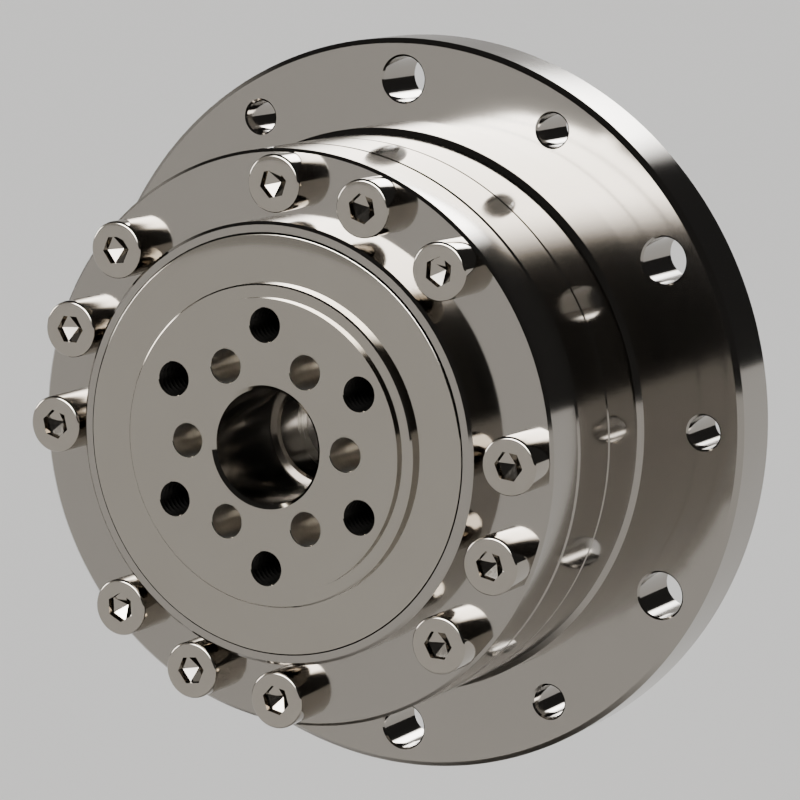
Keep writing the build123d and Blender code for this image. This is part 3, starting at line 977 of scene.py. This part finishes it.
@dataclass
class OutputHub(SubAssembly):
    """Stepped output hub with its tapped holes, bolt holes and stepped bore."""

    body = "output"
    front: float = -33.5
    step_front: float = -33.05
    disc_front: float = -32.25
    disc_rear: float = -30.25
    rear: float = -19.0
    boss_radius: float = 14.0
    step_radius: float = 15.3
    disc_radius: float = 19.9
    step_chamfer: float = 0.15
    disc_rounding: float = 0.15
    bore_radius: float = 5.5
    bore_chamfer: float = 0.35
    bore_floor: float = -22.5
    rear_bore_radius: float = 4.9
    ledge_chamfer: float = 0.25
    journal: float = 18.9
    seal_track: float = 18.7
    seal_rear: float = -27.85
    groove_middle: float = -23.3
    groove_floor: float = 16.84
    groove_rise: float = 2.06
    tapped_circle: float = 11.5
    tapped_angle: float = 30.0
    tapped_radius: float = 1.62
    tapped_depth: float = 8.0
    bolt_circle: float = 8.5
    bolt_hole_radius: float = 1.6
    hole_edge: float = 0.06
    holes: int = 6
    rounding_steps: int = 5

    def build(self) -> None:
        """Builds and dresses the hub."""
        disc_corner = (self.disc_radius - self.disc_rounding, self.disc_front + self.disc_rounding)
        profile = [
            (self.bore_radius, self.front + self.bore_chamfer),
            (self.bore_radius + self.bore_chamfer, self.front),
            (self.boss_radius, self.front),
            (self.boss_radius, self.step_front),
            (self.step_radius - self.step_chamfer, self.step_front),
            (self.step_radius, self.step_front + self.step_chamfer),
            (self.step_radius, self.disc_front),
            *arc(disc_corner, self.disc_rounding, -90, 0, self.rounding_steps),
            (self.disc_radius, self.disc_rear),
            (self.seal_track, self.disc_rear),
            (self.seal_track, self.seal_rear),
            (self.journal, self.seal_rear),
            (self.journal, self.groove_middle - self.groove_rise),
            (self.groove_floor, self.groove_middle),
            (self.journal, self.groove_middle + self.groove_rise),
            (self.journal, self.rear),
            (self.rear_bore_radius, self.rear),
            (self.rear_bore_radius, self.bore_floor + self.ledge_chamfer),
            (self.rear_bore_radius + self.ledge_chamfer, self.bore_floor),
            (self.bore_radius, self.bore_floor),
        ]
        thread = Thread()
        floor = self.front + self.tapped_depth
        turns = [360 / self.holes * number for number in range(self.holes)]
        tapped = [place_on_circle(self.tapped_circle, self.tapped_angle + turn) for turn in turns]
        drilled = [place_on_circle(self.bolt_circle, turn) for turn in turns]
        holes = []
        for outer, inner in zip(tapped, drilled):
            holes += [
                Drilling(outer, self.tapped_radius, self.front, floor, self.hole_edge, False, thread),
                Drilling(inner, self.bolt_hole_radius, self.front, self.rear, self.hole_edge, True),
            ]
        piece = SectionStack("stepped_output_hub").build(turned(profile), holes)
        self.dress(piece, self.finishes.hub_steel, "output_hub")
        self.line(piece, self.finishes.cut_thread, tapped, self.tapped_radius + thread.depth)
        self.line(piece, self.finishes.drilled_steel, drilled, self.bolt_hole_radius)
        self.line(piece, self.finishes.bored_steel, [(0.0, 0.0)], self.bore_radius + self.hole_edge)

    def line(
        self,
        piece: bpy.types.Object,
        material: bpy.types.Material,
        centres: Sequence[tuple[float, float]],
        radius: float,
    ) -> None:
        """Gives the walls of some holes a finish of their own.

        Args:
            piece: The hub.
            material: Finish of the walls.
            centres: Places of the holes.
            radius: Reach of the walls from the middle of a hole.
        """
        piece.data.materials.append(material)
        reach = radius + self.hole_edge / 2
        for polygon in piece.data.polygons:
            x, y, z = polygon.center / MM
            if y > self.front + self.hole_edge and any(math.hypot(x - a, z - b) < reach for a, b in centres):
                polygon.material_index = len(piece.data.materials) - 1


@dataclass
class FlexibleCup(SubAssembly):
    """Flexspline with its clamp ring and bolts."""

    body = "output"
    teeth: ToothForm = field(default_factory=ToothForm)
    boss_front: float = -19.0
    boss_rear: float = -17.2
    boss_radius: float = 11.0
    boss_bore: float = 4.9
    base_front: float = -18.6
    base_rear: float = -16.6
    diaphragm_rear: float = -18.1
    outer_radius: float = 17.2
    inner_radius: float = 16.75
    corner: float = 1.2
    corner_steps: int = 8
    straight_front: float = -9.3
    rim_front: float = -7.8
    rim_rear: float = -1.0
    rim_chamfer: float = 0.12
    rim_gap: float = 0.03
    bolt_circle: float = 8.5
    bolts: int = 6
    clamp_rear: float = -15.4
    bolt_length: float = 10.0
    loose_turn: float = math.radians(60)

    def build(self) -> None:
        """Builds and dresses the cup, its clamp and its bolts."""
        swing = self.teeth.swing
        root = self.teeth.pitch_diameter / 2 - self.teeth.dedendum
        middle = (self.outer_radius - self.corner, self.base_front + self.corner)
        rounding = arc(middle, self.corner, -90, 0, self.corner_steps)
        sections = [
            *turned([(self.boss_bore, self.boss_front), (self.boss_radius, self.boss_front)]),
            *turned([(self.boss_radius, self.base_front), *rounding, (self.outer_radius, self.base_rear)]),
            (oval(self.outer_radius, swing), self.straight_front),
            (oval(root, swing), self.rim_front - self.rim_gap),
            (oval(self.inner_radius, swing), self.rim_front - self.rim_gap),
            (oval(self.inner_radius, swing), self.straight_front),
            *turned([(self.inner_radius, self.base_rear), (self.inner_radius, self.diaphragm_rear)]),
            *turned([(self.boss_radius, self.diaphragm_rear), (self.boss_radius, self.boss_rear)]),
            *turned([(self.boss_bore, self.boss_rear)]),
        ]
        cup = SectionStack("flexible_cup").build(sections)
        self.dress(cup, self.finishes.spline_steel, "flexspline")
        self.refine("flexspline_clamp", "cup_clamp", 0.08, self.finishes.turned_steel)
        self.build_bolts()

    def build_bolts(self) -> None:
        """Sets the bolts round the clamp, heads towards the open side."""
        bolt = CapScrew(shank_length=self.bolt_length).build()
        work = bmesh.new()
        work.from_mesh(bolt.data)
        for vert in work.verts:
            vert.co = Vector((vert.co.x, -vert.co.y, -vert.co.z))
        work.to_mesh(bolt.data)
        work.free()
        piece = self.pattern.copies(
            "cup_bolts",
            bolt,
            Places=self.bolts,
            Circle_radius=self.bolt_circle * MM,
            Station=self.clamp_rear * MM,
            Loose_turn=self.loose_turn,
            Finish=self.finishes.screw_steel,
        )
        self.dress(piece, self.finishes.screw_steel, "flexspline_bolts")


class ToothedRim(FlexibleCup):
    """Toothed rim of the flexspline, whose oval goes round with the plug that presses it."""

    body = "wave_generator"

    def build(self) -> None:
        """Builds and dresses the rim from the cup's sizes."""
        swing = self.teeth.swing
        sections = [
            (self.teeth.flexible(), self.rim_front),
            (self.teeth.flexible(), self.rim_rear),
            (oval(self.inner_radius + self.rim_chamfer, swing), self.rim_rear),
            (oval(self.inner_radius, swing), self.rim_rear - self.rim_chamfer),
            (oval(self.inner_radius, swing), self.rim_front),
        ]
        rim = SectionStack("flexspline_toothed_rim").build(sections)
        self.dress(rim, self.finishes.spline_steel)


@dataclass
class CrossedRollers(SubAssembly):
    """Crossed rollers, every second one tilted the other way, with flat spacers between them."""

    body = "roller_set"
    count: int = 30
    roller_circle: float = 19.0
    radius: float = 1.5
    edge: float = 0.2
    middle: float = -23.3
    tilt: float = math.radians(45)
    points: int = 40

    def build(self) -> None:
        """Builds and dresses rollers and spacers."""
        stack = SectionStack("roller")
        profile = [
            (self.radius - self.edge, -self.radius),
            (self.radius, self.edge - self.radius),
            (self.radius, self.radius - self.edge),
            (self.radius - self.edge, self.radius),
        ]
        rings = [stack.ring(circle(radius, self.points), station) for radius, station in profile]
        for first, second in zip(rings[:-1], rings[1:]):
            stack.bridge(first, second)
        stack.shell.faces.new(rings[0])
        stack.shell.faces.new(rings[-1])
        piece = self.pattern.copies(
            "crossed_rollers",
            stack.finish(),
            Places=self.count,
            Circle_radius=self.roller_circle * MM,
            Station=self.middle * MM,
            Tilt=self.tilt,
            Finish=self.finishes.bearing_steel,
        )
        self.dress(piece, self.finishes.bearing_steel, "rollers_forward", "rollers_backward")
        self.refine("roller_spacers", "polyamide_spacers", 0.06, self.finishes.polyamide)


@dataclass
class WaveGenerator(SubAssembly):
    """Oval plug in its thin ball bearing, with the Oldham coupling and the input hub."""

    body = "wave_generator"
    teeth: ToothForm = field(default_factory=ToothForm)
    race_rear: float = -1.6
    race_front: float = -6.6
    race_edge: float = 0.15
    ball_circle: float = 14.6
    ball_radius: float = 1.25
    ball_count: int = 24
    ball_segments: tuple[int, int] = (32, 20)
    groove_radius: float = 1.27
    groove_land: float = 0.85
    groove_steps: int = 12
    outer_radius: float = 16.72
    plug_radius: float = 12.2

    def build(self) -> None:
        """Builds and dresses the bearing, the plug and the coupling."""
        self.race("wave_bearing_outer_race", self.outer_radius, 1, "wave_outer_race")
        self.race("wave_bearing_inner_race", self.plug_radius, -1, "wave_inner_race")
        self.balls()
        self.refine("wave_ball_cage", "wave_bearing_cage", 0.05, self.finishes.polyamide)
        self.refine("wave_plug", "oval_plug", 0.12, self.finishes.turned_steel)
        self.refine("oldham_ring", "oldham_coupling_ring", 0.08, self.finishes.coupling_steel)
        self.refine("input_hub", "motor_shaft_hub", 0.1, self.finishes.turned_steel)
        self.refine("hub_snap_ring", "input_snap_ring", 0.04, self.finishes.spring_steel)

    def race(self, name: str, back_radius: float, side: int, node: str) -> None:
        """Builds one oval race with its ball groove.

        Args:
            name: Name of the piece.
            back_radius: Radius of the plain side, before the race is pressed oval.
            side: 1 for the outer race, -1 for the inner one.
            node: CAD node that it replaces.
        """
        swing = self.teeth.swing
        middle = (self.race_front + self.race_rear) / 2
        reach = math.sqrt(self.groove_radius**2 - self.groove_land**2)
        land = self.ball_circle + side * self.groove_land
        groove = []
        for step in range(self.groove_steps + 1):
            offset = reach * (1 - 2 * step / self.groove_steps)
            depth = math.sqrt(self.groove_radius**2 - offset**2)
            groove.append((self.ball_circle + side * depth, middle + offset))
        profile = [
            (back_radius - side * self.race_edge, self.race_front),
            (back_radius, self.race_front + self.race_edge),
            (back_radius, self.race_rear - self.race_edge),
            (back_radius - side * self.race_edge, self.race_rear),
            (land + side * self.race_edge, self.race_rear),
            (land, self.race_rear - self.race_edge),
            *groove,
            (land, self.race_front + self.race_edge),
            (land + side * self.race_edge, self.race_front),
        ]
        sections = [(oval(radius, swing), station) for radius, station in profile]
        self.dress(SectionStack(name).build(sections), self.finishes.bearing_steel, node)

    def balls(self) -> None:
        """Sets the balls round the oval track."""
        around, down = self.ball_segments
        work = bmesh.new()
        bmesh.ops.create_uvsphere(work, u_segments=around, v_segments=down, radius=self.ball_radius * MM)
        mesh = bpy.data.meshes.new("ball")
        work.to_mesh(mesh)
        work.free()
        piece = self.pattern.copies(
            "wave_bearing_balls",
            shaded("ball", mesh),
            Places=self.ball_count,
            Circle_radius=self.ball_circle * MM,
            Oval_swing=self.teeth.swing * MM,
            Station=(self.race_front + self.race_rear) / 2 * MM,
            Finish=self.finishes.ball_steel,
        )
        self.dress(piece, self.finishes.ball_steel, "wave_balls")


# Studio.


@dataclass(frozen=True)
class Softbox:
    """Soft light: its name, its middle, the point that it faces, its width and height, its power in watts."""

    name: str
    place: tuple[float, float, float]
    target: tuple[float, float, float]
    size: tuple[float, float]
    power: float


@dataclass
class Studio:
    """Pale floor, soft lights and the camera; sizes here are metres."""

    softboxes: tuple[Softbox, ...] = (
        Softbox("back softbox", (-0.14, 1.05, 0.72), (-0.14, 0.0, 0.6), (0.64, 0.52), 22.0),
        Softbox("front softbox", (-0.22, -1.05, 0.43), (-0.22, 0.0, 0.43), (0.96, 0.66), 60.0),
        Softbox("left softbox", (-1.06, -0.38, 0.25), (0.0, 0.0, 0.0), (0.42, 0.42), 12.0),
    )
    ceiling_strength: float = 2.95
    ceiling_angle: float = math.radians(25)
    floor_drop: float = 0.0535
    floor_half: float = 6.0
    floor_colour: str = "EDECEA"
    wall_colour: str = "BDBBB8"
    dark_colour: str = "363636"
    camera_place: tuple[float, float, float] = (0.17736, -0.33367, 0.06019)
    view: tuple[float, float, float] = (-0.4714, 0.8677, -0.1579)
    lens: float = 170.98
    sensor_width: float = 36.0
    clip: tuple[float, float] = (0.01, 50.0)
    wall_ends: tuple[float, float] = (-0.3, -0.12)
    wall_tops: tuple[float, float] = (0.42, 0.62)
    soft_edge: float = 0.22

    def build(self) -> None:
        """Builds the floor, the lights, the surroundings and the camera."""
        self.floor()
        for softbox in self.softboxes:
            self.hang(softbox)
        self.ceiling()
        self.surroundings()
        self.camera()

    def floor(self) -> None:
        """Builds the plain pale floor well below the reducer."""
        half = self.floor_half
        mesh = bpy.data.meshes.new("floor")
        corners = [(-half, -half), (half, -half), (half, half), (-half, half)]
        mesh.from_pydata([(x, y, -self.floor_drop) for x, y in corners], [], [(0, 1, 2, 3)])
        floor = bpy.data.objects.new("floor", mesh)
        bpy.context.scene.collection.objects.link(floor)
        # Matte painted board: pale, even, without shine.
        material = bpy.data.materials.new("matte painted board")
        material.use_nodes = True
        surface = material.node_tree.nodes["Principled BSDF"]
        surface.inputs["Base Color"].default_value = linear(self.floor_colour)
        surface.inputs["Roughness"].default_value = 0.95
        surface.inputs["Specular IOR Level"].default_value = 0.0
        mesh.materials.append(material)

    def hang(self, softbox: Softbox) -> None:
        """Hangs one soft light."""
        light = bpy.data.lights.new(softbox.name, "AREA")
        light.shape = "RECTANGLE"
        light.size, light.size_y = softbox.size
        light.energy = softbox.power
        self.fade_edges(light)
        hung = bpy.data.objects.new(softbox.name, light)
        bpy.context.scene.collection.objects.link(hung)
        # The panels show in the polish only, so that the floor stays evenly lit.
        hung.visible_diffuse = False
        hung.location = softbox.place
        aim = Vector(softbox.target) - Vector(softbox.place)
        hung.rotation_euler = aim.to_track_quat("-Z", "Y").to_euler()

    def fade_edges(self, light: bpy.types.AreaLight) -> None:
        """Lets a soft light fall off towards its edges, as its cloth does."""
        light.use_nodes = True
        tree = light.node_tree
        tree.nodes.clear()
        spot = add_node(tree, "ShaderNodeNewGeometry").outputs["Parametric"]
        parts = add_node(tree, "ShaderNodeSeparateXYZ", {"Vector": spot})
        levels = []
        for axis in ("X", "Y"):
            aside = add_node(tree, "ShaderNodeMath", {0: parts.outputs[axis], 1: 0.5}, operation="SUBTRACT")
            reach = add_node(tree, "ShaderNodeMath", {0: aside.outputs[0]}, operation="ABSOLUTE").outputs[0]
            levels.append(self.fade(tree, reach, 0.5, 0.5 - self.soft_edge))
        level = add_node(tree, "ShaderNodeMath", {0: levels[0], 1: levels[1]}, operation="MULTIPLY")
        glow = add_node(tree, "ShaderNodeEmission", {"Strength": level.outputs[0]})
        add_node(tree, "ShaderNodeOutputLight", {"Surface": glow.outputs["Emission"]})

    def ceiling(self) -> None:
        """Lights the floor evenly from straight above, without a glint in the polish."""
        light = bpy.data.lights.new("ceiling light", "SUN")
        light.energy = self.ceiling_strength
        light.angle = self.ceiling_angle
        hung = bpy.data.objects.new("ceiling light", light)
        bpy.context.scene.collection.objects.link(hung)
        hung.visible_glossy = False

    def fade(
        self, tree: bpy.types.NodeTree, value: bpy.types.NodeSocket, start: float, end: float
    ) -> bpy.types.NodeSocket:
        """Adds a soft step from nought to one and returns its output."""
        return add_node(
            tree,
            "ShaderNodeMapRange",
            {"Value": value, "From Min": start, "From Max": end},
            interpolation_type="SMOOTHSTEP",
        ).outputs["Result"]

    def surroundings(self) -> None:
        """Makes the room: a light grey wall low on the left, dark to the right and overhead."""
        world = bpy.data.worlds.new("studio room")
        bpy.context.scene.world = world
        world.use_nodes = True
        tree = world.node_tree
        tree.nodes.clear()
        direction = add_node(tree, "ShaderNodeTexCoord").outputs["Object"]
        parts = add_node(tree, "ShaderNodeSeparateXYZ", {"Vector": direction})
        right = self.fade(tree, parts.outputs["X"], *self.wall_ends)
        overhead = self.fade(tree, parts.outputs["Z"], *self.wall_tops)
        dark = add_node(tree, "ShaderNodeMath", {0: right, 1: overhead}, operation="MAXIMUM").outputs[0]
        # The dark walls show in the polish only, and the backdrop stays pale from every side.
        backdrop = add_node(tree, "ShaderNodeLightPath").outputs["Is Camera Ray"]
        shade = add_node(tree, "ShaderNodeMath", {0: dark, 1: backdrop}, operation="SUBTRACT", use_clamp=True)
        room = mixed(tree, shade.outputs[0], self.wall_colour, self.dark_colour)
        light = add_node(tree, "ShaderNodeBackground", {"Color": room, "Strength": 1.0})
        add_node(tree, "ShaderNodeOutputWorld", {"Surface": light.outputs["Background"]})

    def camera(self) -> None:
        """Sets the camera at the photograph's viewing angle."""
        lens = bpy.data.cameras.new("photo camera")
        lens.lens = self.lens
        lens.sensor_width = self.sensor_width
        lens.clip_start, lens.clip_end = self.clip
        camera = bpy.data.objects.new("photo camera", lens)
        bpy.context.scene.collection.objects.link(camera)
        camera.location = self.camera_place
        camera.rotation_euler = Vector(self.view).to_track_quat("-Z", "Y").to_euler()
        bpy.context.scene.camera = camera


def main() -> None:
    """Builds every piece in order."""
    logging.basicConfig(level=logging.INFO, format="%(name)s: %(message)s")
    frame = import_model()
    finishes = Finishes()
    pattern = RingPattern()
    for kind in (Housing, OutputHub, FlexibleCup, ToothedRim, CrossedRollers, WaveGenerator):
        kind(frame, finishes, pattern).build()
    Studio().build()
    LOG.info("boxes written")


if __name__ == "__main__":
    main()
